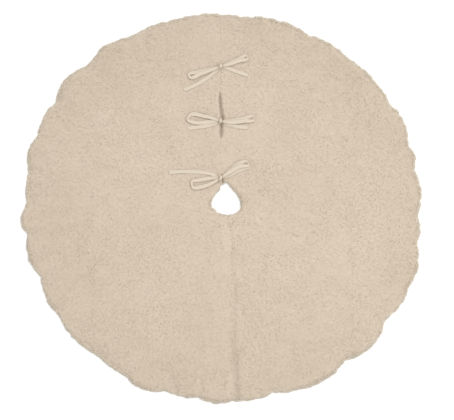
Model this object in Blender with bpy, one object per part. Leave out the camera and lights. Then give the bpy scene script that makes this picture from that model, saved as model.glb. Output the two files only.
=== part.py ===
"""Tree skirt: two plush half rings over a lining, sewn together along one seam and tied along a slit.

The skirt lies flat on the plane z = 0 with +Z up. The slit runs from the trunk hole towards +Y and the
seam runs from the hole towards -Y. The right half folds up and over onto the left half about the axis
through the three knots. Lengths are in metres.
"""

from math import atan2, ceil, cos, degrees, exp, hypot, pi, radians, sin

import bmesh
import bpy

# Driving dimensions
RIM_RADIUS = 0.607  # mean radius of the panels' rim
PLUSH_TOP = 0.013  # height of the pile's tips above the floor
LINING_THICKNESS = 0.001
LAYER_GAP = 0.0003  # between neighbouring pieces
PLUSH_ROUND = 0.005  # rounding of the plush panels' edges
LINING_INSET = 0.003  # how far the lining stands back from the plush panels' edges

HOLE_X, HOLE_Y = 0.018, 0.018  # middle of the trunk hole, from the middle of the rim
HOLE_RADIUS = 0.0385
# The trunk hole's three soft corners: direction in degrees, reach past the radius, spread in degrees
HOLE_CORNERS = ((91, 0.019, 26), (187, 0.009, 30), (335, 0.008, 38))

SLIT_X = 0.0005  # the slit and the fold line
SEAM_START_X = 0.023  # where the seam leaves the trunk hole
SEAM_END_X = 0.051  # where the seam runs out near the rim
SEAM_EASE = 0.110  # length over which the seam swings from one to the other
SEAM_THREAD_WIDTH = 0.0009
LINING_THREAD_WIDTH = 0.0006
EDGE_THREAD_WIDTH = 0.0007

RIBBON_WIDTH = 0.011
RIBBON_THICKNESS = 0.0007
STRAP_THICKNESS = 0.0006
STRAP_WIDTH = 0.011
STRAP_FOOT = 0.0047  # height of a strap's sewn end
STITCH_WIDTH = 0.0007
STITCH_LENGTH = 0.008
KNOT_RADIUS = 0.006
KNOT_STRETCH = 1.16  # a knot's length along the slit over its width across it
KNOT_SINK = 0.0005  # how far the knots sink into the groove between the panels' rounded edges
ROOT_GAP = 0.0005  # from a knot to the ribbons that leave it
LOOP_RISE = 0.0028  # from a loop's lower strand to its upper one
ROOT_NARROWING = 0.45  # share of the ribbon's width that is left where it leaves the knot
TURN_NARROWING = 0.55  # share that is left where a loop turns back, standing on its edge

# The gathered rim, counterclockwise from +X: direction of each tuck in degrees and how far the rim stands
# outside its mean radius there, then the same for the crest after it, in millimetres
SCALLOPS = (
    (11, 1, 15, 14), (18, 2, 25, 19), (32, 4, 38, 11), (51, -1, 54, 3), (63, -8, 69, 0),
    (84, -14, 96, -7), (103, -10, 109, -5), (118, -11, 126, 6), (133, -6, 141, 15), (147, -3, 153, 7),
    (159, -1, 163, 12), (169, -2, 172, 0), (179, -8, 184, 11), (188, -7, 195, 6), (201, -15, 209, 0),
    (213, -9, 220, 0), (230, -14, 236, -10), (239, -13, 247, 2), (253, -19, 260, -12),
    (263, -19, 269, -4), (273, -10, 280, -5), (286, -14, 302, 14), (309, 1, 319, 27), (326, 9, 333, 27),
    (337, 22, 341, 31), (350, 9, 352, 14), (358, 1, 364, 15),
)

# The bows: height of each knot along the slit from the middle of the rim, and the route of each loop and
# tail from its knot across the pile, in millimetres
BOWS = {
    "upper": {
        "knot_y": 0.436,
        "loop_left": ((-45, -11), (-74, -18), (-98, -25), (-95, -33), (-60, -22), (-24, -9)),
        "tail_left": ((-24, -22), (-50, -41), (-80, -58), (-113, -72)),
        "loop_right": ((34, 14), (60, 25), (80, 34), (84, 26), (56, 17), (24, 6)),
        "tail_right": ((22, -5), (44, -13), (64, -20), (84, -27)),
    },
    "middle": {
        "knot_y": 0.268,
        "loop_left": ((-40, -3), (-78, -5), (-102, 5), (-94, 18), (-52, 15), (-20, 7)),
        "tail_left": ((-24, -10), (-46, -15), (-72, -19), (-101, -22)),
        "loop_right": ((34, 2), (70, 7), (102, 13), (104, 5), (72, 0), (28, -4)),
        "tail_right": ((22, -9), (42, -15), (62, -18), (84, -20)),
    },
    "lower": {
        "knot_y": 0.0925,
        "loop_left": ((-34, -1), (-64, -6), (-88, -12), (-87, -27), (-54, -26), (-20, -12)),
        "tail_left": ((-28, 12), (-60, 18), (-108, 20), (-160, 18)),
        "loop_right": ((30, 25), (58, 45), (84, 50), (87, 41), (60, 36), (28, 18)),
        "tail_right": ((26, 8), (48, 19), (70, 28), (93, 34)),
    },
}

# Heights
PLUSH_BASE = LINING_THICKNESS + LAYER_GAP
EDGE_ROUND = min(PLUSH_ROUND, 0.45 * (PLUSH_TOP - PLUSH_BASE))
KNOT_HEIGHT = PLUSH_TOP - KNOT_SINK + KNOT_RADIUS  # the fold axis runs through the knots
SLIT_HALF_GAP = STRAP_THICKNESS + 2 * LAYER_GAP
SEAM_HALF_GAP = SEAM_THREAD_WIDTH / 2 + LAYER_GAP
LINING_HALF_GAP = LINING_THREAD_WIDTH / 2 + LAYER_GAP
TAIL_HEIGHT = PLUSH_TOP + LAYER_GAP + RIBBON_THICKNESS / 2
LOOP_LOW = TAIL_HEIGHT + RIBBON_THICKNESS + LAYER_GAP
LOOP_HIGH = LOOP_LOW + LOOP_RISE
MOST_TURN = 3.5  # degrees between neighbouring points of the rim
HOLE_TURN = 10  # degrees between neighbouring points of the trunk hole
SEAM_MARGIN = 0.004  # least distance along the seam between neighbouring points

# Materials: colour, roughness
CREAM_PLUSH = ("cream_plush", (0.67, 0.57, 0.46), 0.95)
CREAM_LINING = ("cream_lining", (0.66, 0.58, 0.47), 0.8)
CREAM_RIBBON = ("cream_ribbon", (0.80, 0.71, 0.58), 0.6)
SEWING_THREAD = ("sewing_thread", (0.70, 0.61, 0.50), 0.7)


def clear_scene():
    for obj in list(bpy.data.objects):
        bpy.data.objects.remove(obj, do_unlink=True)


def new_collection(name):
    made = bpy.data.collections.new(name)
    bpy.context.scene.collection.children.link(made)
    return made


def material(finish):
    name, colour, roughness = finish
    made = bpy.data.materials.get(name)
    if made:
        return made
    made = bpy.data.materials.new(name)
    made.use_nodes = True
    shader = made.node_tree.nodes["Principled BSDF"]
    shader.inputs["Base Color"].default_value = (*colour, 1)
    shader.inputs["Roughness"].default_value = roughness
    shader.inputs["Metallic"].default_value = 0
    return made


# ---------------------------------------------------------------- the skirt's outline


def rim_radius(angle):
    """Rim radius in a direction in radians: each scallop rises from a tuck to a crest and falls back."""
    first = SCALLOPS[0][0]
    turn = (degrees(angle) - first) % 360 + first
    for index, (tuck, tuck_out, crest, crest_out) in enumerate(SCALLOPS):
        following = SCALLOPS[(index + 1) % len(SCALLOPS)]
        end = following[0] if index + 1 < len(SCALLOPS) else following[0] + 360
        if turn <= crest:
            start_out, share = tuck_out, (turn - tuck) / (crest - tuck)
        elif turn < end:
            start_out, share = following[1], (end - turn) / (end - crest)
        else:
            continue
        return RIM_RADIUS + (start_out + (crest_out - start_out) * sin(share * pi / 2)) / 1000
    raise ValueError("a direction outside every scallop")


def rim_turns():
    """Directions in degrees of the rim's points: every tuck and crest, and points between them."""
    marks = [mark for tuck, _, crest, _ in SCALLOPS for mark in (tuck, crest)]
    marks.append(SCALLOPS[0][0] + 360)
    turns = []
    for start, end in zip(marks, marks[1:]):
        steps = max(2, ceil((end - start) / MOST_TURN))
        turns += [start + (end - start) * step / steps for step in range(steps)]
    return turns


def hole_radius(angle):
    """Radius of the trunk hole about its own middle: a circle with three soft corners."""
    reach = HOLE_RADIUS
    for direction, size, spread in HOLE_CORNERS:
        off = (degrees(angle) - direction + 180) % 360 - 180
        reach += size * exp(-((off / spread) ** 2))
    return reach


def seam_x(y):
    """The seam leaves the hole near its middle and swings over to its own line."""
    run = max(0.0, HOLE_Y - HOLE_RADIUS - y)
    return SEAM_END_X - (SEAM_END_X - SEAM_START_X) * exp(-run / SEAM_EASE)


def seam_stations(low, high):
    """The heights between two others where every piece along the seam has a point, from the top down."""
    start, end, steps = HOLE_Y - HOLE_RADIUS, -RIM_RADIUS, 10
    marks = [start + (end - start) * (step / steps) ** 1.5 for step in range(steps + 1)]
    return [y for y in marks if low < y < high]


def crossing(outside, low, high):
    """The value between low and high where outside() changes sign."""
    for _ in range(60):
        middle = (low + high) / 2
        if outside(middle) == outside(low):
            low = middle
        else:
            high = middle
    return (low + high) / 2


def free_edge(side, rim_inset, slit_inset, seam_inset):
    """One half ring's edge, from the seam's outer end round the rim, down the slit and round the hole.

    side is -1 for the left half and 1 for the right half. rim_inset is the distance in from the rim and
    from the trunk hole; slit_inset and seam_inset are the distances from the middle of the slit and of
    the seam.
    """

    def seam(y):
        return seam_x(y) + side * seam_inset

    def past_rim(x, y):
        return hypot(x, y) > rim_radius(atan2(y, x)) - rim_inset

    def clear_of_hole(x, y):
        x, y = x - HOLE_X, y - HOLE_Y
        return hypot(x, y) > hole_radius(atan2(y, x)) + rim_inset

    slit = SLIT_X + side * slit_inset
    top = crossing(lambda y: past_rim(slit, y), 0.8 * RIM_RADIUS, 1.1 * RIM_RADIUS)
    neck = crossing(lambda y: clear_of_hole(slit, y), HOLE_Y, HOLE_Y + 3 * HOLE_RADIUS)
    bottom = crossing(lambda y: past_rim(seam(y), y), -0.8 * RIM_RADIUS, -1.1 * RIM_RADIUS)
    foot = crossing(lambda y: clear_of_hole(seam(y), y), HOLE_Y, HOLE_Y - 3 * HOLE_RADIUS)

    # Round the rim from the seam to the slit
    start = degrees(atan2(bottom, seam(bottom)))
    span = (degrees(atan2(top, slit)) - start) * side % 360
    turns = [(turn - start) * side % 360 for turn in rim_turns()]
    points = [(seam(bottom), bottom)]
    for turn in sorted(turn for turn in turns if 1 < turn < span - 1):
        angle = radians(start + side * turn)
        reach = rim_radius(angle) - rim_inset
        points.append((reach * cos(angle), reach * sin(angle)))
    points += [(slit, top), (slit, neck)]

    # Back round the trunk hole to the seam
    start = degrees(atan2(neck - HOLE_Y, slit - HOLE_X))
    span = (start - degrees(atan2(foot - HOLE_Y, seam(foot) - HOLE_X))) * side % 360
    turns = [(start - turn) * side % 360 for turn in range(0, 360, HOLE_TURN)]
    for turn in sorted(turn for turn in turns if 2 < turn < span - 2):
        angle = radians(start - side * turn)
        reach = hole_radius(angle) + rim_inset
        points.append((HOLE_X + reach * cos(angle), HOLE_Y + reach * sin(angle)))
    points.append((seam(foot), foot))
    return points


def panel_outline(side, rim_inset, slit_inset, seam_inset):
    """One half ring's closed outline: its free edge, and the way back down along the seam."""
    points = free_edge(side, rim_inset, slit_inset, seam_inset)
    bottom, foot = points[0][1], points[-1][1]
    stations = seam_stations(bottom + SEAM_MARGIN, foot - SEAM_MARGIN)
    return points + [(seam_x(y) + side * seam_inset, y) for y in stations]


def rim_middle():
    """Middle of the box round the rim, which the origin stands under."""
    reach = [(rim_radius(radians(t)), radians(t)) for t in rim_turns()]
    xs = [r * cos(t) for r, t in reach]
    ys = [r * sin(t) for r, t in reach]
    return (min(xs) + max(xs)) / 2, (min(ys) + max(ys)) / 2


# ---------------------------------------------------------------- building


def curve_object(name, points, parts, dimensions="3D", cyclic=False, kind="POLY", scales=None):
    """A curve through the points, in the skirt's own frame."""
    curve = bpy.data.curves.new(name, "CURVE")
    curve.dimensions = dimensions
    spline = curve.splines.new(kind)
    spline_points = spline.bezier_points if kind == "BEZIER" else spline.points
    spline_points.add(len(points) - 1)
    for index, (point, place) in enumerate(zip(spline_points, points)):
        full = (*place, 0.0) if len(place) == 2 else place
        if kind == "BEZIER":
            point.co = full
            point.handle_left_type = point.handle_right_type = "AUTO"
        else:
            point.co = (*full, 1)
        if scales:
            point.radius = scales[index]
    spline.use_cyclic_u = cyclic
    made = bpy.data.objects.new(name, curve)
    parts.objects.link(made)
    return made


def plate(name, outline, low, high, rounding, finish, parts):
    """A flat panel between two heights, whose rounded edges stand out past the outline by the rounding."""
    made = curve_object(name, outline, parts, dimensions="2D", cyclic=True)
    made.data.fill_mode = "BOTH"
    made.data.extrude = (high - low) / 2 - rounding
    made.data.bevel_depth = rounding
    made.data.bevel_resolution = 2 if rounding else 0
    made.location = (-MIDDLE[0], -MIDDLE[1], (low + high) / 2)
    made.data.materials.append(material(finish))
    return made


def thread(name, points, height, width, parts):
    """A thread along a route at one height."""
    made = curve_object(name, [(x, y, 0) for x, y in points], parts)
    made.data.bevel_depth = width / 2
    made.data.bevel_resolution = 0
    made.data.use_fill_caps = True
    made.location = (-MIDDLE[0], -MIDDLE[1], height)
    made.data.materials.append(material(SEWING_THREAD))
    return made


def make_panels(parts):
    for side, word in ((-1, "left"), (1, "right")):
        edge = EDGE_ROUND
        outline = panel_outline(side, edge, SLIT_HALF_GAP + edge, SEAM_HALF_GAP + edge)
        plate(f"plush_{word}", outline, PLUSH_BASE, PLUSH_TOP, edge, CREAM_PLUSH, parts)
        edge = LINING_INSET
        outline = panel_outline(side, edge, SLIT_HALF_GAP + edge, LINING_HALF_GAP)
        plate(f"lining_{word}", outline, 0, LINING_THICKNESS, 0, CREAM_LINING, parts)


def make_threads(parts):
    """The two centre seams' threads, and the thread round each half's rim, slit and hole."""
    foot = HOLE_Y - hole_radius(-pi / 2)
    end = -rim_radius(-pi / 2)
    seams = (
        ("plush_seam_thread", EDGE_ROUND, (PLUSH_BASE + PLUSH_TOP) / 2, SEAM_THREAD_WIDTH),
        ("lining_seam_thread", LINING_INSET, LINING_THICKNESS / 2, LINING_THREAD_WIDTH),
    )
    for name, inset, height, width in seams:
        start, finish = foot - 2 * inset, end + 3 * inset
        ys = [start, *seam_stations(finish + SEAM_MARGIN, start - SEAM_MARGIN), finish]
        thread(name, [(seam_x(y), y) for y in ys], height, width, parts)

    edge = LINING_INSET - 2 * LAYER_GAP - EDGE_THREAD_WIDTH / 2
    for side, word in ((-1, "left"), (1, "right")):
        route = free_edge(side, edge, SLIT_HALF_GAP + edge, LINING_HALF_GAP + LINING_INSET)
        height = LINING_THICKNESS + EDGE_THREAD_WIDTH / 2 - LAYER_GAP
        thread(f"edge_thread_{word}", route, height, EDGE_THREAD_WIDTH, parts)


def ribbon_section(width, thickness, guides):
    """The ribbon's six-sided section, as a guide that the ribbon curves carry along."""
    flat = width / 2 - thickness / 2
    corners = [
        (-width / 2, 0), (-flat, thickness / 2), (flat, thickness / 2),
        (width / 2, 0), (flat, -thickness / 2), (-flat, -thickness / 2),
    ]
    section = curve_object("ribbon_section", corners, guides, dimensions="2D", cyclic=True)
    section.hide_render = True
    section.display_type = "WIRE"
    return section


def ribbon(name, route, section, parts):
    """A ribbon that lies flat along a route from its knot, narrow where it is pulled into the knot."""
    scales = [ROOT_NARROWING] + [1.0] * (len(route) - 1)
    if name.startswith("loop"):
        scales[-1] = ROOT_NARROWING
        scales[3] = scales[4] = TURN_NARROWING
    made = curve_object(name, route, parts, kind="BEZIER", scales=scales)
    made.data.resolution_u = 4
    made.data.twist_mode = "Z_UP"
    made.data.bevel_mode = "OBJECT"
    made.data.bevel_object = section
    made.data.use_fill_caps = True
    made.data.materials.append(material(CREAM_RIBBON))
    return made


def root_point(towards, height):
    """Where a ribbon leaves its knot, heading for a point."""
    reach = KNOT_RADIUS + ROOT_GAP
    far = hypot(*towards)
    return reach * towards[0] / far, reach * towards[1] / far, height


def loop_route(points):
    """Out along the lower strand and back along the upper one, in metres from the knot's middle."""
    flat = [(x / 1000, y / 1000) for x, y in points]
    count = len(flat)
    low, high = LOOP_LOW - KNOT_HEIGHT, LOOP_HIGH - KNOT_HEIGHT
    route = [root_point(flat[0], low)]
    for index, (x, y) in enumerate(flat):
        rise = min(1.0, max(0.0, (index - 1) / (count - 3)))
        route.append((x, y, low + (high - low) * rise))
    route.append(root_point(flat[-1], high))
    return route


def tail_route(points):
    """Along the pile, in metres from the knot's middle."""
    flat = [(x / 1000, y / 1000) for x, y in points]
    height = TAIL_HEIGHT - KNOT_HEIGHT
    return [root_point(flat[0], height)] + [(x, y, height) for x, y in flat]


def box(name, size, middle, finish, parts):
    mesh = bpy.data.meshes.new(name)
    cage = bmesh.new()
    bmesh.ops.create_cube(cage, size=1)
    bmesh.ops.scale(cage, vec=size, verts=cage.verts)
    cage.to_mesh(mesh)
    cage.free()
    made = bpy.data.objects.new(name, mesh)
    made.location = middle
    parts.objects.link(made)
    mesh.materials.append(material(finish))
    return made


def make_bow(word, bow, section, parts):
    """One tie: a strap up each edge of the slit, and the knot with its loops and tails."""
    pivot = (SLIT_X - MIDDLE[0], bow["knot_y"] - MIDDLE[1], KNOT_HEIGHT)
    holder = bpy.data.objects.new(f"tie_{word}", None)
    holder.location = pivot
    parts.objects.link(holder)

    mesh = bpy.data.meshes.new(f"knot_{word}")
    ball = bmesh.new()
    bmesh.ops.create_uvsphere(ball, u_segments=16, v_segments=10, radius=KNOT_RADIUS)
    bmesh.ops.scale(ball, vec=(1, KNOT_STRETCH, 1), verts=ball.verts)
    ball.to_mesh(mesh)
    ball.free()
    mesh.shade_smooth()
    mesh.materials.append(material(CREAM_RIBBON))
    knot = bpy.data.objects.new(f"knot_{word}", mesh)
    parts.objects.link(knot)
    knot.parent = holder

    strap_top = -KNOT_RADIUS - LAYER_GAP
    strap_foot = STRAP_FOOT - KNOT_HEIGHT
    for side, hand in ((-1, "left"), (1, "right")):
        x = side * (LAYER_GAP + STRAP_THICKNESS / 2)
        strap = box(
            f"strap_{hand}_{word}",
            (STRAP_THICKNESS, STRAP_WIDTH, strap_top - strap_foot),
            (x, 0, (strap_top + strap_foot) / 2),
            CREAM_RIBBON,
            parts,
        )
        strap.parent = holder
        stitch_height = strap_foot - LAYER_GAP - STITCH_WIDTH / 2
        ends = [(x, -STITCH_LENGTH / 2, stitch_height), (x, STITCH_LENGTH / 2, stitch_height)]
        stitch = curve_object(f"strap_stitch_{hand}_{word}", ends, parts)
        stitch.data.bevel_depth = STITCH_WIDTH / 2
        stitch.data.bevel_resolution = 1
        stitch.data.use_fill_caps = True
        stitch.data.materials.append(material(SEWING_THREAD))
        stitch.parent = holder

        loop = ribbon(f"loop_{hand}_{word}", loop_route(bow[f"loop_{hand}"]), section, parts)
        loop.parent = holder
        tail = ribbon(f"tail_{hand}_{word}", tail_route(bow[f"tail_{hand}"]), section, parts)
        tail.parent = holder


clear_scene()
MIDDLE = rim_middle()
skirt = new_collection("tree_skirt")
guides = new_collection("guides")
make_panels(skirt)
make_threads(skirt)
RIBBON_SECTION = ribbon_section(RIBBON_WIDTH, RIBBON_THICKNESS, guides)
for bow_word, bow_sizes in BOWS.items():
    make_bow(bow_word, bow_sizes, RIBBON_SECTION, skirt)
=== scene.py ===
"""Looks of the tree skirt: plush, lining, stitching and ribbon ties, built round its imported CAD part.

Lengths are in metres, in the part's own frame. The skirt lies on z = 0, the slit runs from the trunk hole
towards +Y and the centre seam from the hole towards -Y.
"""

import logging
import math
from dataclasses import dataclass, field
from enum import Enum
from typing import Callable, Mapping, Sequence

import bpy
import numpy as np
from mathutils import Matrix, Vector
from mathutils.bvhtree import BVHTree


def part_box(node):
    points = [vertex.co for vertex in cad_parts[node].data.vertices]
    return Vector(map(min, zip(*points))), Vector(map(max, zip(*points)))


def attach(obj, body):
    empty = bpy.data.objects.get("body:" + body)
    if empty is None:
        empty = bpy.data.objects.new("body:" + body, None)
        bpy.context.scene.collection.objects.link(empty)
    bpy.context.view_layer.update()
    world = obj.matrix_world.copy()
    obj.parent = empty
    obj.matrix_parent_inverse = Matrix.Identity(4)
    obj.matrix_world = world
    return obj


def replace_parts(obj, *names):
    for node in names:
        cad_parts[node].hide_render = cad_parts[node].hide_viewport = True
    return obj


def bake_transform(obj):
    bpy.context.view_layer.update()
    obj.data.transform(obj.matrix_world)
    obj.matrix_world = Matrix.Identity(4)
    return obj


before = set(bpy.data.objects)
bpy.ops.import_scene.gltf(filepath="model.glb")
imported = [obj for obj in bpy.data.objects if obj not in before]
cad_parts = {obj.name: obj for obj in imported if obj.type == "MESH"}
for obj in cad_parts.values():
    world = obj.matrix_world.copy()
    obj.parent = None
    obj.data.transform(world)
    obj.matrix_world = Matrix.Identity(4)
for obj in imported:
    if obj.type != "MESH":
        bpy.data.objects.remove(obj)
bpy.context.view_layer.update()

Array = np.ndarray
Object = bpy.types.Object
Material = bpy.types.Material
Edge = Callable[[Array], Array]  # x at a y
Route = tuple[tuple[float, float], ...]
Patches = tuple[tuple[int, float, float], ...]  # a seed, a size and a share each
Rgb = tuple[float, float, float]
LOG = logging.getLogger("tree_skirt")
FULL_TURN = 2 * math.pi
FOLD_START = (-0.0015, 0.0, 0.0)  # the fold line, which the slit and the lining's slit edges are laid out from


class Side(Enum):
    """The two half rings."""

    LEFT = -1
    RIGHT = 1

    @property
    def word(self) -> str:
        """Returns: the side's name as the CAD writes it."""
        return self.name.lower()

    @property
    def body(self) -> str:
        """Returns: the CAD body of this half."""
        return f"{self.word}_half"


class Slot(Enum):
    """The record's material slots."""

    PLUSH = "plush"
    LINING = "lining"
    RIBBON = "ribbon"
    THREAD = "thread"


class Strand(Enum):
    """The two kinds of ribbon on a bow."""

    LOOP = "loop"
    TAIL = "tail"


# ---------------------------------------------------------------- numbers over the plane


def ease(low: float, high: float, value: Array) -> Array:
    """Smooth step.

    Args:
        low: where the step starts, giving 0.
        high: where it ends, giving 1.
        value: the places to read.
    Returns: 3t^2 - 2t^3 of the share of the way, held at 0 and 1 outside.
    """
    share = np.clip((value - low) / (high - low), 0, 1)
    return share * share * (3 - 2 * share)


def rounded(distance: Array, reach: Array | float, power: float = 2.0) -> Array:
    """Quarter-ellipse edge profile.

    Args:
        distance: distance in from the edge.
        reach: how far in the rounding goes.
        power: 2 is an ellipse, more is squarer.
    Returns: (1 - (1 - t)^power)^(1 / power) with t the share of the reach, 1 past it.
    """
    share = np.clip(distance / reach, 0, 1)
    return (1 - (1 - share) ** power) ** (1 / power)


def unit(vectors: Array) -> Array:
    """Args: vectors, along the last axis. Returns: the same at length 1."""
    return vectors / np.maximum(np.linalg.norm(vectors, axis=-1, keepdims=True), 1e-12)


@dataclass(frozen=True)
class SoftNoise:
    """Smooth random heights from -1 to 1: a square lattice of values joined by a quintic ease."""

    seed: int
    size: float

    def at(self, x: Array, y: Array) -> Array:
        """Args: x, y, places in the plane. Returns: the height there."""
        table = np.random.default_rng(self.seed).uniform(-1, 1, (256, 256))
        column, row = x / self.size + 128, y / self.size + 128
        i, j = np.floor(column).astype(int), np.floor(row).astype(int)
        a, b = column - i, row - j
        a, b = a**3 * (a * (6 * a - 15) + 10), b**3 * (b * (6 * b - 15) + 10)
        i, j, i1, j1 = i % 256, j % 256, (i + 1) % 256, (j + 1) % 256
        low = table[i, j] * (1 - a) + table[i1, j] * a
        high = table[i, j1] * (1 - a) + table[i1, j1] * a
        return low * (1 - b) + high * b


@dataclass(frozen=True)
class Tufts:
    """Clumps of pile from 0 to 1: the highest of the paraboloids on a square lattice of shaken middles."""

    seed: int
    size: float
    width: float = 0.85

    def at(self, x: Array, y: Array) -> Array:
        """Args: x, y, places in the plane. Returns: the clumps' height there."""
        shake = np.random.default_rng(self.seed).uniform(0, 1, (3, 256, 256))
        column, row = x / self.size + 128, y / self.size + 128
        i, j = np.floor(column).astype(int), np.floor(row).astype(int)
        best = np.zeros_like(column)
        for di in (-1, 0, 1):
            for dj in (-1, 0, 1):
                a, b = (i + di) % 256, (j + dj) % 256
                off = (column - i - di - shake[0, a, b]) ** 2 + (row - j - dj - shake[1, a, b]) ** 2
                best = np.maximum(best, (0.55 + 0.45 * shake[2, a, b]) * (1 - off / self.width**2))
        return best


def layered(
    kind: type[SoftNoise] | type[Tufts], x: Array, y: Array, *parts: tuple[int, float, float]
) -> Array:
    """Args: kind; x, y; parts, a seed, a size and a share each. Returns: the sum of the shares."""
    return sum(share * kind(seed, size).at(x, y) for seed, size, share in parts)


def bell(distance: Array, width: Array | float) -> Array:
    """Args: distance from the middle; width. Returns: exp(-(distance / width)^2)."""
    return np.exp(-((distance / width) ** 2))


# ---------------------------------------------------------------- meshes


def placed(name: str, data: bpy.types.ID) -> Object:
    """Args: name; data, a mesh, light or camera. Returns: its object, in the scene."""
    made = bpy.data.objects.new(name, data)
    bpy.context.scene.collection.objects.link(made)
    return made


def across_fold(piece: Object) -> Object:
    """Args: piece, cloth or stitches over the fold line. Returns: it, with its placement baked into its
    points.
    """
    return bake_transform(piece)


def grid_quads(rows: int, columns: int, wrap: bool = False, first: int = 0) -> Array:
    """Faces of a grid of points stored row by row.

    Args:
        rows: number of rows.
        columns: points in a row.
        wrap: whether each row's end joins its start.
        first: index of the grid's first point.
    Returns: one row of four indices a face.
    """
    index = first + np.arange(rows * columns).reshape(rows, columns)
    if wrap:
        index = np.concatenate([index, index[:, :1]], axis=1)
    a, b, c, d = index[:-1, :-1], index[:-1, 1:], index[1:, 1:], index[1:, :-1]
    return np.stack([a, b, c, d], axis=-1).reshape(-1, 4)


def border(index: Array) -> Array:
    """Args: index, a grid of point numbers. Returns: those round its edge, in order."""
    return np.concatenate([index[:, 0], index[-1, 1:], index[-2::-1, -1], index[0, -2:0:-1]])


def fan(ring: Array, middle: int) -> Array:
    """Args: ring, indices round a hole; middle, the point that closes it. Returns: the triangles."""
    return np.stack([ring, np.roll(ring, -1), np.full(len(ring), middle)], axis=-1)


def band(first: Array, second: Array) -> Array:
    """Args: first, second, closed rows of indices. Returns: the faces between them."""
    return np.stack([first, np.roll(first, -1), np.roll(second, -1), second], axis=-1)


def circle(count: int) -> Array:
    """Args: count. Returns: that many points round the unit circle, (count, 3)."""
    turn = np.arange(count) * FULL_TURN / count
    return np.stack([np.cos(turn), np.sin(turn), np.zeros(count)], -1)


@dataclass
class Shell:
    """A closed surface as arrays: points, four-sided faces and triangles."""

    points: Array
    quads: Array = field(default_factory=lambda: np.zeros((0, 4), int))
    triangles: Array = field(default_factory=lambda: np.zeros((0, 3), int))

    def outward(self) -> "Shell":
        """Returns: the surface with its faces pointing outwards, judged by its signed volume."""
        q = self.quads
        corners = self.points[np.concatenate([self.triangles, q[:, [0, 1, 2]], q[:, [0, 2, 3]]])]
        if np.einsum("ij,ij->", corners[:, 0], np.cross(corners[:, 1], corners[:, 2])) >= 0:
            return self
        return Shell(self.points, q[:, ::-1], self.triangles[:, ::-1])

    def object(self, name: str, sharp_past: float = 180, **layers: Array) -> Object:
        """Makes the Blender object, shaded smooth, with its faces turned outwards.

        Args:
            name: the object's name.
            sharp_past: the angle in degrees past which an edge stays sharp.
            layers: numbers for each point; two columns become the UV map of that name, one a float layer.
        Returns: the object, at the origin.
        """
        turned = self.outward()
        quads, triangles = turned.quads, turned.triangles
        mesh = bpy.data.meshes.new(name)
        corners = np.concatenate([quads.ravel(), triangles.ravel()]).astype(np.int32)
        starts = np.append(np.arange(len(quads)) * 4, len(quads) * 4 + np.arange(len(triangles)) * 3)
        mesh.vertices.add(len(self.points))
        mesh.vertices.foreach_set("co", self.points.astype(np.float32).ravel())
        mesh.loops.add(len(corners))
        mesh.loops.foreach_set("vertex_index", corners)
        mesh.polygons.add(len(starts))
        mesh.polygons.foreach_set("loop_start", starts.astype(np.int32))
        mesh.update(calc_edges=True)
        mesh.polygons.foreach_set("use_smooth", np.full(len(starts), True))
        if sharp_past < 180:
            mesh.set_sharp_from_angle(angle=math.radians(sharp_past))
        for layer, values in layers.items():
            flat = values.astype(np.float32)
            if values.ndim == 2:
                mesh.uv_layers.new(name=layer).data.foreach_set("uv", flat[corners].ravel())
            else:
                mesh.attributes.new(layer, "FLOAT", "POINT").data.foreach_set("value", flat)
        return placed(name, mesh)


def joined(shells: Sequence[Shell]) -> Shell:
    """Args: shells, closed surfaces. Returns: all of them as one."""
    starts = np.cumsum([0] + [len(s.points) for s in shells[:-1]])
    return Shell(
        np.concatenate([s.points for s in shells]),
        np.concatenate([s.quads + n for s, n in zip(shells, starts)]),
        np.concatenate([s.triangles + n for s, n in zip(shells, starts)]),
    )


def copies(template: Shell, origins: Array, axes: Array) -> Shell:
    """Copies of a small shape, each in its own place.

    Args:
        template: the shape, with its points as shares of three axes.
        origins: where each copy's origin goes, (n, 3).
        axes: each copy's three axes as rows, (n, 3, 3), their lengths its size.
    Returns: the copies as one shell.
    """
    points = origins[:, None] + np.einsum("pk,nkj->npj", template.points, axes)
    step = (np.arange(len(origins)) * len(template.points))[:, None, None]
    return Shell(
        points.reshape(-1, 3),
        (template.quads[None] + step).reshape(-1, 4),
        (template.triangles[None] + step).reshape(-1, 3),
    )


def run_along(line: Array) -> Array:
    """Args: line, points along a path. Returns: each point's distance along it from the first."""
    return np.concatenate([[0], np.cumsum(np.linalg.norm(np.diff(line, axis=0), axis=1))])


def points_at(line: Array, places: Array) -> Array:
    """Args: line, points along a path; places, distances along it. Returns: the points there."""
    run = run_along(line)
    return np.stack([np.interp(places, run, line[:, k]) for k in range(3)], axis=-1)


def smooth_path(knots: Array, count: int) -> Array:
    """A smooth line through points, evenly spaced.

    Args:
        knots: the points, (n, 3).
        count: number of points wanted.
    Returns: points on the cubic whose tangent at each given point is the slope across its neighbours.
    """
    chord = run_along(knots)
    slope = np.gradient(knots, chord, axis=0)
    place = np.linspace(0, chord[-1], 8 * count)
    i = np.clip(np.searchsorted(chord, place, side="right") - 1, 0, len(knots) - 2)
    span = (chord[i + 1] - chord[i])[:, None]
    t = (place - chord[i])[:, None] / span
    start = knots[i] * (1 + 2 * t) * (1 - t) ** 2 + slope[i] * span * t * (1 - t) ** 2
    line = start + knots[i + 1] * t**2 * (3 - 2 * t) + slope[i + 1] * span * t**2 * (t - 1)
    return points_at(line, np.linspace(0, run_along(line)[-1], count))


def swept(rings: Array) -> Shell:
    """A tube through rings of points, closed at both ends by a fan.

    Args:
        rings: the points, (rings, points in a ring, 3).
    Returns: the closed surface.
    """
    count, around = rings.shape[:2]
    points = np.concatenate([rings.reshape(-1, 3), rings[0].mean(0)[None], rings[-1].mean(0)[None]])
    last = count * around
    caps = [fan(np.arange(around)[::-1], last), fan(np.arange(around) + last - around, last + 1)]
    return Shell(points, grid_quads(count, around, wrap=True), np.concatenate(caps))


# ---------------------------------------------------------------- paints


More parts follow.
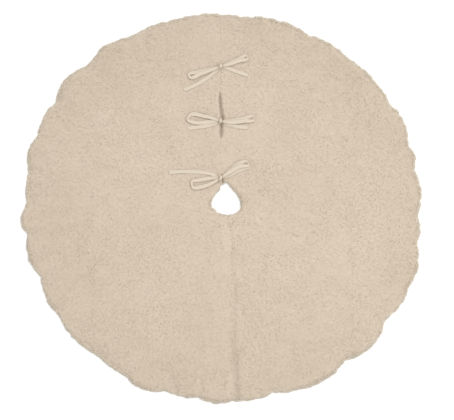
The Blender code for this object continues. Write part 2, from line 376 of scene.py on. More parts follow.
class Wire:
    """A shader socket that Python's operators work on."""

    def __init__(self, paint: "Paint", socket: bpy.types.NodeSocket) -> None:
        """Args: paint, the material it is in; socket, the output it stands for."""
        self.paint, self.socket = paint, socket

    def _math(self, operation: str, *values: "Wire | float") -> "Wire":
        """Args: operation, the Math node's; values, its inputs. Returns: the result."""
        return self.paint.node("ShaderNodeMath", dict(enumerate(values)), operation=operation)

    def __add__(self, other: "Wire | float") -> "Wire":
        """Args: other. Returns: the sum."""
        return self._math("ADD", self, other)

    def __sub__(self, other: "Wire | float") -> "Wire":
        """Args: other. Returns: the difference."""
        return self._math("SUBTRACT", self, other)

    def __rsub__(self, other: float) -> "Wire":
        """Args: other. Returns: other less this."""
        return self._math("SUBTRACT", other, self)

    def __mul__(self, other: "Wire | float") -> "Wire":
        """Args: other. Returns: the product."""
        return self._math("MULTIPLY", self, other)

    __radd__ = __add__
    __rmul__ = __mul__

    def sine(self) -> "Wire":
        """Returns: the sine, in radians."""
        return self._math("SINE", self)

    def between(self, low: float, high: float) -> "Wire":
        """Args: low, high, the limits. Returns: this, held between them."""
        return self._math("MINIMUM", self._math("MAXIMUM", self, low), high)


class Paint:
    """One material, built by expressions."""

    def __init__(self, name: str) -> None:
        """Args: name, the material's."""
        self.material = bpy.data.materials.new(name)
        self.material.use_nodes = True
        self.tree = self.material.node_tree
        self.shader = self.tree.nodes["Principled BSDF"]

    def node(
        self, kind: str, inputs: Mapping[str | int, object], out: str | int = 0, **settings: object
    ) -> Wire:
        """Adds a node.

        Args:
            kind: its type.
            inputs: a value or a Wire for each input, by name or number.
            out: the output wanted.
            settings: its properties.
        Returns: that output.
        """
        made = self.tree.nodes.new(kind)
        for key, value in settings.items():
            setattr(made, key, value)
        for key, value in inputs.items():
            if isinstance(value, Wire):
                self.tree.links.new(value.socket, made.inputs[key])
            else:
                made.inputs[key].default_value = value
        return Wire(self, made.outputs[out])

    def cloth_place(self) -> Wire:
        """Returns: the place on the cloth, from its UV map."""
        return self.node("ShaderNodeUVMap", {}, uv_map="cloth")

    def layer(self, name: str) -> Wire:
        """Args: name, a float layer on the mesh. Returns: its value."""
        return self.node("ShaderNodeAttribute", {}, out="Fac", attribute_name=name)

    def noise(self, place: Wire, size: float, detail: float = 2.0, rough: float = 0.55) -> Wire:
        """Args: place; size of the blots in metres; detail; rough. Returns: noise from 0 to 1."""
        wanted = {"Vector": place, "Scale": 1 / size, "Detail": detail, "Roughness": rough}
        return self.node("ShaderNodeTexNoise", wanted, out="Fac")

    def mix(self, share: Wire, first: "Wire | Rgb", second: "Wire | Rgb") -> Wire:
        """Args: share of the second colour; first; second. Returns: the mixed colour."""
        first, second = (c if isinstance(c, Wire) else colour(c) for c in (first, second))
        wanted = {0: share, 6: first, 7: second}
        return self.node("ShaderNodeMix", wanted, out=2, data_type="RGBA", clamp_factor=True)

    def split(self, place: Wire) -> tuple[Wire, Wire]:
        """Args: place, a vector. Returns: its X and Y."""
        made = self.node("ShaderNodeSeparateXYZ", {0: place})
        return made, Wire(self, made.socket.node.outputs[1])

    def bump(self, height: Wire, distance: float, strength: float = 1.0) -> Wire:
        """Args: height; distance in metres that 1 stands for; strength. Returns: the normal."""
        wanted = {"Height": height, "Distance": distance, "Strength": strength}
        return self.node("ShaderNodeBump", wanted, out="Normal")

    def finish(self, constants: Mapping[str, object], **linked: Wire) -> Material:
        """Sets the shader.

        Args:
            constants: plain values by the shader's input names.
            linked: wires, by input names written with an underscore for each space.
        Returns: the material.
        """
        for key, value in constants.items():
            self.shader.inputs[key].default_value = value
        for key, wire in linked.items():
            self.tree.links.new(wire.socket, self.shader.inputs[key.replace("_", " ")])
        return self.material


def colour(shade: Rgb) -> tuple[float, float, float, float]:
    """Args: shade, linear red, green and blue. Returns: it as a socket takes it."""
    return (*shade, 1.0)


def gloss(
    roughness: float, specular: float, sheen: float = 0.0, sheen_roughness: float = 0.5
) -> dict[str, object]:
    """Args: roughness; specular level; sheen weight; sheen_roughness. Returns: the shader's values."""
    names = ("Roughness", "Specular IOR Level", "Sheen Weight", "Sheen Roughness")
    return dict(zip(names, (roughness, specular, sheen, sheen_roughness)))


PILE_SHEEN = {**gloss(0.95, 0.15, 0.25, 0.6), "Sheen Tint": colour((1.0, 0.93, 0.84))}


@dataclass(frozen=True)
class PileShade:
    """Cream pile's colour: mottled as painted shade and sheen where it lies one way or the other, darker
    with painted shade where it lies deep.
    """

    low: Rgb = (0.562, 0.463, 0.358)
    high: Rgb = (0.614, 0.518, 0.413)
    tips: Rgb = (0.650, 0.552, 0.442)
    # deep: the painted shade colour that the depth layer mixes in
    deep: Rgb = (0.30, 0.26, 0.20)
    drift_size: float = 0.30
    patch_size: float = 0.085
    grain_size: float = 0.012
    contrast: float = 1.3
    tips_share: float = 0.4
    deep_share: float = 0.24

    def over(self, paint: Paint, place: Wire, lift: float) -> Wire:
        """Args: paint; place on the cloth; lift, how much lighter than the face. Returns: the colour."""
        # painted shade and sheen: blots of lighter and darker pile, as pile lying different ways
        blots = paint.noise(place, self.drift_size, 1.0) + paint.noise(place, self.patch_size, 3.0)
        shade = ((blots - 1.0) * self.contrast + 0.5).between(0, 1)
        grain = paint.noise(place, self.grain_size, 3.0, 0.6) - 0.5
        grain = (grain * self.contrast + 0.5).between(0, 1)
        low, high = (tuple(c * lift for c in end) for end in (self.low, self.high))
        face = paint.mix(grain * self.tips_share, paint.mix(shade, low, high), self.tips)
        # painted shade: darker where the mesh's depth layer is high
        return paint.mix(paint.layer("depth").between(0, 3) * self.deep_share, face, self.deep)


@dataclass(frozen=True)
class PlushFace:
    """The pile's face, with clumps and single hairs in relief."""

    hair: float = 0.0016
    clump: float = 0.0055
    relief: float = 0.0022

    def make(self) -> Material:
        """Returns: the material."""
        paint = Paint("cream_plush_pile")
        place = paint.cloth_place()
        height = paint.noise(place, self.hair, 3.0, 0.7) * 0.55 + paint.noise(place, self.clump, 2.0)
        normal = paint.bump(height, self.relief, 0.6)
        tint = PileShade().over(paint, place, 1.0)
        return paint.finish(PILE_SHEEN, Base_Color=tint, Normal=normal)


@dataclass(frozen=True)
class FreeTips:
    """The pile where single tips stand free past an edge, painted lighter than the face as painted light
    for the light they let through.
    """

    dark: Rgb = (0.700, 0.610, 0.495)
    light: Rgb = (0.840, 0.760, 0.640)
    # painted shade colour at the spikes' roots
    root: Rgb = (0.64, 0.56, 0.455)
    patch: float = 0.012

    def make(self) -> Material:
        """Returns: the material."""
        paint = Paint("cream_plush_tips")
        warm = paint.mix(paint.noise(paint.cloth_place(), self.patch, 3.0), self.dark, self.light)
        # painted shade: the root colour mixed in where the depth layer is high
        tint = paint.mix(paint.layer("depth").between(0, 1) * 0.3, warm, self.root)
        return paint.finish(gloss(0.95, 0.1, 0.3, 0.6), Base_Color=tint)


@dataclass(frozen=True)
class StandingTips:
    """The pile's tips over the face, in its shades but a little lighter."""

    lift: float = 1.05

    def make(self) -> Material:
        """Returns: the material."""
        paint = Paint("cream_plush_standing")
        tint = PileShade().over(paint, paint.cloth_place(), self.lift)
        return paint.finish(PILE_SHEEN, Base_Color=tint)


@dataclass(frozen=True)
class LiningCloth:
    """Plain woven backing cloth."""

    yarn: float = 0.0011
    slub: float = 0.02
    dark: Rgb = (0.60, 0.52, 0.41)
    light: Rgb = (0.70, 0.62, 0.50)
    relief: float = 0.0004

    def make(self) -> Material:
        """Returns: the material."""
        paint = Paint("cream_lining_cloth")
        place = paint.cloth_place()
        along, across = (way * (FULL_TURN / self.yarn) for way in paint.split(place))
        slub = paint.noise(place, self.slub, 3.0)
        normal = paint.bump(along.sine() * across.sine() * 0.5 + slub * 0.6, self.relief, 0.5)
        tint = paint.mix(slub, self.dark, self.light)
        return paint.finish(gloss(0.8, 0.25, 0.1), Base_Color=tint, Normal=normal)


@dataclass(frozen=True)
class RibbonWeave:
    """Soft ribbed ribbon, lighter than the pile."""

    rib: float = 0.0012
    worn: float = 0.006
    dark: Rgb = (0.565, 0.485, 0.38)
    light: Rgb = (0.65, 0.567, 0.457)
    relief: float = 0.00025

    def make(self) -> Material:
        """Returns: the material."""
        paint = Paint("cream_ribbon_weave")
        place = paint.cloth_place()
        ribs = (paint.split(place)[1] * (FULL_TURN / self.rib)).sine() * 0.5 + 0.5
        wear = paint.noise(place, self.worn, 3.0)
        tint = paint.mix((ribs * 0.35 + wear * 0.6).between(0, 1), self.dark, self.light)
        normal = paint.bump(ribs * 0.6 + wear * 0.5, self.relief, 0.7)
        return paint.finish(gloss(0.55, 0.35, 0.2, 0.4), Base_Color=tint, Normal=normal)


@dataclass(frozen=True)
class SewingThread:
    """Twisted sewing thread with a little fuzz."""

    fuzz: float = 0.0012
    dark: Rgb = (0.62, 0.54, 0.43)
    light: Rgb = (0.78, 0.70, 0.58)
    relief: float = 0.0002

    def make(self) -> Material:
        """Returns: the material."""
        paint = Paint("cream_sewing_thread")
        fuzz = paint.noise(paint.node("ShaderNodeTexCoord", {}, out="Object"), self.fuzz, 2.0)
        tint, normal = paint.mix(fuzz, self.dark, self.light), paint.bump(fuzz, self.relief, 0.5)
        return paint.finish(gloss(0.6, 0.35), Base_Color=tint, Normal=normal)


@dataclass(frozen=True)
class Wardrobe:
    """The materials: one for each slot, and two more for the pile's tips."""

    plush: Material
    tips: Material
    pile: Material
    lining: Material
    ribbon: Material
    thread: Material

    @classmethod
    def make(cls) -> "Wardrobe":
        """Returns: every finish as a material."""
        finishes = (PlushFace(), FreeTips(), StandingTips(), LiningCloth(), RibbonWeave(), SewingThread())
        return cls(*(finish.make() for finish in finishes))

    def dress(
        self, piece: Object, slot: Slot, own: Material | None = None
    ) -> Object:
        """Args: piece; slot; own, a paint other than the slot's. Returns: it, painted."""
        piece.data.materials.append(own or getattr(self, slot.value))
        return piece


# ---------------------------------------------------------------- plan


@dataclass(frozen=True)
class Outline:
    """The skirt's plan, read off the CAD panels."""

    hole_middle: Array
    rim_middle: Array
    turns: Array
    hole_reach: Array
    rim_reach: Array
    levels: Array
    inner_edge: Mapping[Side, Array]
    hole_pulls: tuple[tuple[float, float, float], ...] = ((0, 8, 24), (-27, 12, -30), (24, 12, -12))
    puckers: Patches = ((51, 0.034, 0.0014), (52, 0.015, 0.0008))

    @classmethod
    def read(cls, hole_middle: tuple[float, float], rim_middle: tuple[float, float]) -> "Outline":
        """Reads the plan by casting rays at the panels' mid-height.

        Args:
            hole_middle: a point inside the trunk hole.
            rim_middle: a point near the rim's middle.
        Returns: the plan, with the gaps at the slit and the seam bridged.
        """
        trees = {}
        for side in Side:
            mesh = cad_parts[f"plush_{side.word}"].data
            corners = [v.co.copy() for v in mesh.vertices]
            trees[side] = BVHTree.FromPolygons(corners, [tuple(p.vertices) for p in mesh.polygons])
        low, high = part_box("plush_left")
        height = (low.z + high.z) / 2

        def hit(side: Side, origin: tuple[float, float], heading: tuple[float, float]) -> float:
            """Args: side; origin; heading. Returns: the distance to the panel, or infinity."""
            found = trees[side].ray_cast(Vector((*origin, height)), Vector((*heading, 0)))
            return math.inf if found[0] is None else found[3]

        outside, hole_most, rim_least, seam_most = 0.8, 0.075, 0.4, 0.59
        turns = np.radians(np.arange(0, 360, 0.5))
        hole, rim = [], []
        for turn in turns:
            heading = (math.cos(turn), math.sin(turn))
            hole.append(min(hit(side, hole_middle, heading) for side in Side))
            start = tuple(m + outside * h for m, h in zip(rim_middle, heading))
            back = (-heading[0], -heading[1])
            rim.append(outside - min(hit(side, start, back) for side in Side))
        hole, rim = np.array(hole), np.array(rim)
        hole_seen, rim_seen = hole < hole_most, rim > rim_least
        hole = np.interp(turns, turns[hole_seen], hole[hole_seen], period=FULL_TURN)
        rim = np.interp(turns, turns[rim_seen], rim[rim_seen], period=FULL_TURN)
        levels = np.linspace(-seam_most, seam_most, 237)
        edges = {}
        for side in Side:
            start = -side.value * 1.0
            edges[side] = np.array(
                [start + side.value * hit(side, (start, y), (side.value, 0)) for y in levels]
            )
        return cls(np.array(hole_middle), np.array(rim_middle), turns, hole, rim, levels, edges)

    def hole(self, turn: Array) -> Array:
        """Reads the hole, its top pulled to a point.

        Args:
            turn: directions from the hole's middle.
        Returns: its radius there, with a bell for each pull: degrees from the top, width, tenths of a mm.
        """
        off = np.degrees(turn) % 360 - 92
        pull = sum(size * 1e-4 * bell(off - middle, width) for middle, width, size in self.hole_pulls)
        return np.interp(turn, self.turns, self.hole_reach, period=FULL_TURN) + pull

    def rim(self, turn: Array) -> Array:
        """Args: turn, directions from the rim's middle. Returns: its radius there, finely puckered."""
        pucker = layered(SoftNoise, np.cos(turn), np.sin(turn), *self.puckers)
        return np.interp(turn, self.turns, self.rim_reach, period=FULL_TURN) + pucker

    def ripple(self, turn: Array) -> Array:
        """Args: turn. Returns: how far the rim stands outside its own mean over 24 degrees, in metres."""
        count, wide = len(self.rim_reach), np.ones(49) / 49
        mean = np.convolve(np.tile(self.rim_reach, 3), wide, "same")
        own = self.rim_reach - mean[count : 2 * count]
        return np.interp(turn, self.turns, own, period=FULL_TURN)

    def seam(self, y: Array) -> Array:
        """Args: y. Returns: the seam's middle there."""
        middle = (self.inner_edge[Side.LEFT] + self.inner_edge[Side.RIGHT]) / 2
        below = self.levels < -0.03
        return np.interp(y, self.levels[below], middle[below])


@dataclass(frozen=True)
class Slit:
    """The slit's lie: y in metres, then its middle's offset from the fold and half its opening in mm."""

    lie: tuple[tuple[float, float, float], ...] = (
        (0.060, 8.5, 2.6), (0.078, 7.5, 2.6), (0.094, 4.5, 2.0), (0.110, 1.5, 0.5), (0.130, 0.0, 0.1),
        (0.170, -0.5, 0.1), (0.212, 0.2, 0.1), (0.222, 0.6, 2.4), (0.235, 0.8, 3.8), (0.252, 0.8, 3.0),
        (0.268, 1.5, 2.6), (0.284, 4.5, 3.8), (0.296, 1.5, 3.0), (0.318, -1.0, 2.6), (0.340, -2.5, 2.6),
        (0.356, -3.0, 1.6), (0.368, -2.5, 0.2), (0.405, -1.5, 0.1), (0.430, -2.0, 0.6), (0.446, -1.5, 0.6),
        (0.470, 0.5, 0.1), (0.520, 1.0, 0.1), (0.560, 0.0, 0.1), (0.600, -0.5, 0.5), (0.640, -0.5, 1.0),
    )
    smoothing: float = 0.004
    gap: float = 0.00012

    def opening(self, y: Array) -> Array:
        """Args: y. Returns: half the slit's opening there."""
        table = np.array(self.lie)
        return np.interp(y, table[:, 0], table[:, 2]) / 1000

    def edge(self, side: Side, y: Array) -> Array:
        """Args: side; y. Returns: where that panel's edge runs."""
        table = np.array(self.lie)
        fine = np.linspace(table[0, 0], table[-1, 0], 600)
        step = fine[1] - fine[0]
        reach = int(3 * self.smoothing / step)
        weights = bell(np.arange(-reach, reach + 1) * step, self.smoothing * math.sqrt(2))
        middle = np.pad(np.interp(fine, table[:, 0], table[:, 1]), reach, "edge")
        middle = np.convolve(middle, weights, "valid") / weights.sum() / 1000
        return FOLD_START[0] + np.interp(y, fine, middle + side.value * self.gap / 2)


def packed(count: int, near_start: tuple[float, float], near_end: tuple[float, float]) -> Array:
    """Numbers from 0 to 1, closer together near the ends.

    Args:
        count: how many.
        near_start: how many times closer at 0, and how far that reaches.
        near_end: the same at 1.
    Returns: the numbers, rising.
    """
    fine = np.linspace(0, 1, 20001)
    crowd = 1 + near_start[0] * np.exp(-fine / near_start[1])
    crowd += near_end[0] * np.exp(-(1 - fine) / near_end[1])
    total = np.concatenate([[0], np.cumsum((crowd[1:] + crowd[:-1]) / 2)])
    return np.interp(np.linspace(0, total[-1], count), total, fine)


class HalfRing:
    """One half's plan: the unit square laid between the hole and the rim.

    u runs from the slit round to the seam and v from the hole out to the rim. Straight lines from the
    hole's edge to the rim's are pulled sideways near the slit and the seam, so that they follow them.
    """

    fades = (0.06, 0.1)  # how far in u each pull reaches
    levels = ((0.02, 0.12), (0.45, 0.66))  # where the hole's and the rim's edges are looked for

    def __init__(
        self,
        outline: Outline,
        side: Side,
        slit_edge: Edge,
        seam_edge: Edge,
        inset: float,
    ) -> None:
        """Args: outline; side; slit_edge and seam_edge, x at a y; inset from the hole and the rim."""
        self.outline, self.side, self.inset = outline, side, inset
        self.edges = (slit_edge, seam_edge)
        hole, rim = outline.hole_middle, outline.rim_middle
        self.turns = []
        for edge, heading in zip(self.edges, (1, -1)):
            near, far = (np.linspace(*levels, 1500) * heading for levels in self.levels)
            inner = self._meets(edge, near, hole, lambda t: outline.hole(t) + inset)
            outer = self._meets(edge, far, rim, lambda t: outline.rim(t) - inset)
            self.turns.append((inner, outer))
        (self.inner_start, self.outer_start), (inner, outer) = self.turns
        sense = -side.value
        self.inner_span = sense * ((sense * (inner - self.inner_start)) % FULL_TURN)
        self.outer_span = sense * ((sense * (outer - self.outer_start)) % FULL_TURN)

    @staticmethod
    def _meets(edge: Edge, levels: Array, middle: Array, reach: Edge) -> float:
        """Args: edge, x at y; levels; middle; reach at a turn. Returns: the turn where edge crosses."""
        x, y = edge(levels) - middle[0], levels - middle[1]
        turn = np.arctan2(y, x)
        past = np.hypot(x, y) > reach(turn)
        return float(turn[np.argmax(past)])

    def _ends(self, u: Array) -> tuple[Array, Array]:
        """Args: u. Returns: the points on the hole's edge and on the rim there."""
        inner = self.inner_start + self.inner_span * u
        outer = self.outer_start + self.outer_span * u
        near, far = self.outline.hole(inner) + self.inset, self.outline.rim(outer) - self.inset
        first = self.outline.hole_middle + near[..., None] * np.stack([np.cos(inner), np.sin(inner)], -1)
        last = self.outline.rim_middle + far[..., None] * np.stack([np.cos(outer), np.sin(outer)], -1)
        return first, last

    def place(self, u: Array, v: Array) -> tuple[Array, Array]:
        """Args: u, v, same shape. Returns: x and y."""
        first, last = self._ends(u)
        spot = first + (last - first) * v[..., None]
        x, y = spot[..., 0], spot[..., 1]
        for end, edge, fade in zip((0.0, 1.0), self.edges, self.fades):
            first, last = self._ends(np.array([end]))
            line = first + (last - first) * v[..., None]
            shift = edge(line[..., 1]) - line[..., 0]
            x = x + shift * bell(u - end, fade)
        return x, y

    def rim_turn(self, u: Array) -> Array:
        """Args: u. Returns: the rim's direction there."""
        return self.outer_start + self.outer_span * u

    def clearances(self, u: Array, v: Array) -> tuple[Array, Array, Array, Array]:
        """Args: u, v. Returns: distances in from the rim, the hole, the slit and the seam."""
        first, last = self._ends(u)
        length = np.linalg.norm(last - first, axis=-1)
        x, y = self.place(u, v)
        slit = np.where(u < 0.5, np.abs(x - self.edges[0](y)), 1.0)
        seam = np.where(u > 0.5, np.abs(x - self.edges[1](y)), 1.0)
        return (1 - v) * length, v * length, slit, seam


# ---------------------------------------------------------------- the skirt's pieces


@dataclass(frozen=True)
class SeamValley:
    """The groove that the seam draws in the pile, deeper towards the rim, with a low ridge beside it."""

    depth: tuple[float, float] = (0.0008, 0.0026)
    width: tuple[float, float] = (0.007, 0.012)
    offset: float = -0.0045
    ridge_offset: float = -0.024
    ridge_width: float = 0.010
    ridge_height: float = 0.0009

    def at(self, beside: Array, y: Array, down: Array) -> tuple[Array, Array, Array]:
        """Reads the valley, a bell across the seam.

        Args:
            beside: distance to the right of the seam.
            y: the place along it.
            down: the share of the way from the hole to the rim.
        Returns: the valley from 0 to 1, its depth in metres, and the ridge's height.
        """
        width = self.width[0] + (self.width[1] - self.width[0]) * down
        depth = self.depth[0] + (self.depth[1] - self.depth[0]) * down
        beside = beside - self.offset
        valley = np.where(y < 0.0, bell(beside, width), 0.0)
        ridge = bell(beside - self.ridge_offset, self.ridge_width) * ease(0.0, -0.09, y)
        return valley, depth, self.ridge_height * ridge


@dataclass(frozen=True)
class Crease:
    """A soft crease in the pile, from beside the hole out to the right."""

    start: tuple[float, float] = (0.095, -0.019)
    heading: tuple[float, float] = (0.89, -0.455)
    length: float = 0.218
    width: float = 0.007
    depth: float = 0.0013

    def at(self, x: Array, y: Array) -> Array:
        """Args: x, y. Returns: its depth there, a bell across it that fades at both ends."""
        x, y = x - self.start[0], y - self.start[1]
        across = y * self.heading[0] - x * self.heading[1]
        along = (x * self.heading[0] + y * self.heading[1]) / self.length
        return self.depth * bell(across, self.width) * ease(-0.1, 0.2, along) * ease(1.15, 0.8, along)


@dataclass(frozen=True)
class PlushPanel:
    """One half ring of plush: a rounded sheet with tufts, seam groove and gathered rim."""

    half: HalfRing
    slit: Slit
    columns: int = 420
    rows: int = 180
    pile_top: float = 0.0120
    edge_height: float = 0.0050
    base: float = 0.0014
    rim_round: float = 0.017
    hole_round: float = 0.012
    swell: float = 0.0011
    swells: Patches = ((3, 0.15, 0.7), (4, 0.055, 0.4))
    tuft_height: float = 0.0012
    tuft_sizes: Patches = ((11, 0.0105, 0.6), (12, 0.0056, 0.4))
    ripple_height: float = 0.0022
    ripple_reach: float = 0.030
    lip_reach: tuple[float, float] = (0.0022, 0.0094)
    lip_sink: float = 0.0010
    bow_zone: tuple[float, float, float] = (0.27, 0.17, 0.27)
    valley: SeamValley = SeamValley()
    crease: Crease = Crease()
    underside: tuple[float, ...] = (
        0, 0.004, 0.009, 0.015, 0.022, 0.029, 0.037, 0.046, 0.056, 0.07, 0.13, 0.32, 0.6, 0.95,
    )

    def away_from_bows(self, x: Array, y: Array) -> Array:
        """Args: x, y. Returns: 0 where the bows lie on the pile, 1 well away from them."""
        zone_y, zone_half_x, zone_half_y = self.bow_zone
        return ease(0.75, 1.1, np.hypot(x / zone_half_x, (y - zone_y) / zone_half_y))

    def top(self, u: Array, v: Array) -> tuple[Array, Array]:
        """Height of the pile: swells, tufts and ripples, rounded down to its edges and cut by the seam.

        Args:
            u, v: places on the plan.
        Returns: the height, and how much painted shade the place gets between tufts, in the seam groove,
        near the bows, in the open slit and towards the edges, mostly 0 to 1.
        """
        x, y = self.half.place(u, v)
        rim, hole, slit, _ = self.half.clearances(u, v)
        calm = self.away_from_bows(x, y)
        tufts = layered(Tufts, x, y, *self.tuft_sizes)
        ripple = np.clip(self.half.outline.ripple(self.half.rim_turn(u)) * 260, -1.2, 1.0)
        ripple = ripple * self.ripple_height * np.exp(-rim / self.ripple_reach) * ease(0.0, 0.010, rim)
        down = np.clip(-y / 0.6, 0, 1)
        valley, groove, ridge = self.valley.at(x - self.half.outline.seam(y), y, down)
        height = self.pile_top + calm * self.swell * layered(SoftNoise, x, y, *self.swells)
        height = height + (tufts - 0.5) * self.tuft_height + ripple + ridge - self.crease.at(x, y)
        share = rounded(rim, self.rim_round * (1 + 0.2 * SoftNoise(7, 0.04).at(x, y)), 2.2)
        share = share * rounded(hole, self.hole_round, 2.2)
        gape = self.slit.opening(y)
        wide = ease(0.0004, 0.0032, gape)
        near, far = self.lip_reach
        lips = rounded(slit - 0.8 * gape, near + (far - near) * wide, 1.7)
        fallen = wide * (1 - lips) * (slit < 0.02)
        share = share * (1 - (0.07 + 0.93 * wide) * (1 - lips))
        floor = self.edge_height - self.lip_sink * fallen
        height = floor + (height - floor) * share
        height = height - np.minimum(groove * valley, 0.75 * (height - self.edge_height))
        # painted shade: darker between tufts, down the seam groove, near the bows, towards the rim and deep
        # in the open slit
        depth = 0.35 * (1 - tufts) ** 2 + 0.7 * valley * (0.2 + 0.8 * down) + 0.06 * (1 - calm)
        return height, depth + 0.5 * np.exp(-rim / 0.16) + 0.1 * np.exp(-rim / 0.02) + 1.3 * fallen

    def bottom(self, u: Array, v: Array) -> Array:
        """Args: u, v. Returns: height of the underside, curving up to the edges."""
        rim, hole, slit, _ = self.half.clearances(u, v)
        edge = self.edge_height - 0.0001
        return edge - (edge - self.base) * rounded(rim, 0.005) * rounded(hole, 0.004) * rounded(slit, 0.003)

    def shell(self) -> tuple[Shell, Array, Array]:
        """Returns: the closed surface, each point's place on the cloth, and its painted shade, from how
        deep it lies in the pile.
        """
        us, vs = packed(self.columns, (6, 0.012), (5, 0.030)), packed(self.rows, (3, 0.02), (5, 0.025))
        u, v = np.meshgrid(us, vs, indexing="ij")
        height, depth = self.top(u, v)
        top = np.dstack([*self.half.place(u, v), height]).reshape(-1, 3)
        loop = border(np.arange(u.size).reshape(u.shape))
        shares = 1 - np.array(self.underside)[:, None]
        low_u, low_v = 0.5 + (u.ravel()[loop] - 0.5) * shares, 0.5 + (v.ravel()[loop] - 0.5) * shares
        under = np.dstack([*self.half.place(low_u, low_v), self.bottom(low_u, low_v)]).reshape(-1, 3)
        points = np.concatenate([top, under, under[-len(loop) :].mean(0)[None]])
        ring = np.arange(len(loop))
        sheets = [grid_quads(*u.shape), band(loop, len(top) + ring)]
        sheets.append(grid_quads(len(shares), len(loop), wrap=True, first=len(top)))
        cap = fan(len(points) - 1 - len(loop) + ring, len(points) - 1)[:, ::-1]
        depth = np.append(depth.ravel(), np.zeros(len(under) + 1))
        return Shell(points, np.concatenate(sheets)[:, ::-1], cap), points[:, :2], depth

    def build(self, wardrobe: Wardrobe) -> Object:
        """Args: wardrobe. Returns: the panel."""
        word = self.half.side.word
        shell, cloth, depth = self.shell()
        made = shell.object(f"plush_pile_{word}", sharp_past=65, cloth=cloth, depth=depth)
        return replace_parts(across_fold(wardrobe.dress(made, Slot.PLUSH)), f"plush_{word}")


@dataclass(frozen=True)
class Fringe:
    """Tips of pile that stand out past the panel's edges, as slender closed spikes."""

    panel: PlushPanel
    spacing: float = 0.0011
    layers: int = 4
    length: tuple[float, float] = (0.0050, 0.0085)
    thickness: float = 0.0011
    floor: float = 0.0006
    steepest: float = 62.0
    ring_width: float = 0.56
    edges: tuple[tuple[float, float, int], ...] = ((1.0, 1.9, 1), (0.0, 0.15, -1))  # v, length, way out
    # painted shade for each point of a spike: darker at its root rings, none at its tip
    depths: tuple[float, ...] = (0.5, 0.5, 0.5, 0.3, 0.3, 0.3, 0.0)

    def template(self) -> Shell:
        """Returns: one spike of three sides, bent at its middle, along its third axis."""
        points = np.concatenate([circle(3), circle(3) * 0.75 + [0.12, 0, 0.5], [[0.3, 0, 1.0]]])
        caps = np.array([[3, 4, 6], [4, 5, 6], [5, 3, 6], [2, 1, 0]])
        return Shell(points, grid_quads(2, 3, wrap=True), caps)

    def roots(self) -> tuple[Array, Array]:
        """Returns: the spikes' u, v and rise round the edge, and headings out, at the rim and the hole."""
        spread = np.random.default_rng(21 + self.panel.half.side.value)
        half = self.panel.half
        found = []
        for v_edge, length, outward in self.edges:
            count = int(self.layers * length / self.spacing)
            u = spread.uniform(0.0005, 0.9995, count)
            rise = spread.uniform(0, 1, count) ** 1.3 * math.radians(self.steepest)
            reach = self.panel.rim_round if outward > 0 else self.panel.hole_round
            inward = reach * (1 - np.cos(rise)) * 0.9 / self.ring_width
            v = np.abs(v_edge - inward)
            found.append((u, v, rise, np.full(count, outward)))
        u, v, rise, outward = (np.concatenate(part) for part in zip(*found))
        ahead = np.stack(half.place(u, np.clip(v + 0.01, 0, 1)), -1)
        behind = np.stack(half.place(u, np.clip(v - 0.01, 0, 1)), -1)
        heading = unit(ahead - behind) * outward[:, None]
        return np.stack([u, v, rise], -1), heading

    def build(self, wardrobe: Wardrobe) -> Object:
        """Args: wardrobe. Returns: the fringe."""
        word = self.panel.half.side.word
        chance = np.random.default_rng(31 + self.panel.half.side.value)
        roots, heading = self.roots()
        u, v, rise = roots.T
        count = len(u)
        height, _ = self.panel.top(u, v)
        low = self.panel.edge_height - 0.0025
        share = chance.uniform(0, 1, count)
        flat = rise < math.radians(25)
        height = np.where(flat, low + (height - low) * share, height) - 0.0006
        x, y = self.panel.half.place(u, v)
        lean = chance.normal(0, 0.35, count)
        side = np.stack([-heading[:, 1], heading[:, 0]], -1)
        plan = unit(heading + side * lean[:, None])
        climb = rise * 0.75 + chance.normal(-0.1, 0.2, count)
        along = np.column_stack([plan * np.cos(climb)[:, None], np.sin(climb)])
        drift = 0.75 + 0.45 * SoftNoise(33, 0.012).at(x, y)
        length = chance.uniform(*self.length, count) * np.where(v < 0.5, 0.6, 1.0) * drift
        down = unit(np.cross(along, np.column_stack([side, np.zeros(count)])))
        down = np.where(down[:, 2:] > 0, -down, down)
        sides = [down * self.thickness, unit(np.cross(along, down)) * self.thickness]
        origins = np.column_stack([x, y, height])
        shell = copies(self.template(), origins, np.stack([*sides, along * length[:, None]], axis=1))
        shell.points[:, 2] = np.maximum(shell.points[:, 2], self.floor)
        cloth = np.repeat(origins[:, :2], len(self.depths), axis=0)
        made = shell.object(f"plush_fringe_{word}", cloth=cloth, depth=np.tile(self.depths, count))
        return across_fold(wardrobe.dress(made, Slot.PLUSH, wardrobe.tips))


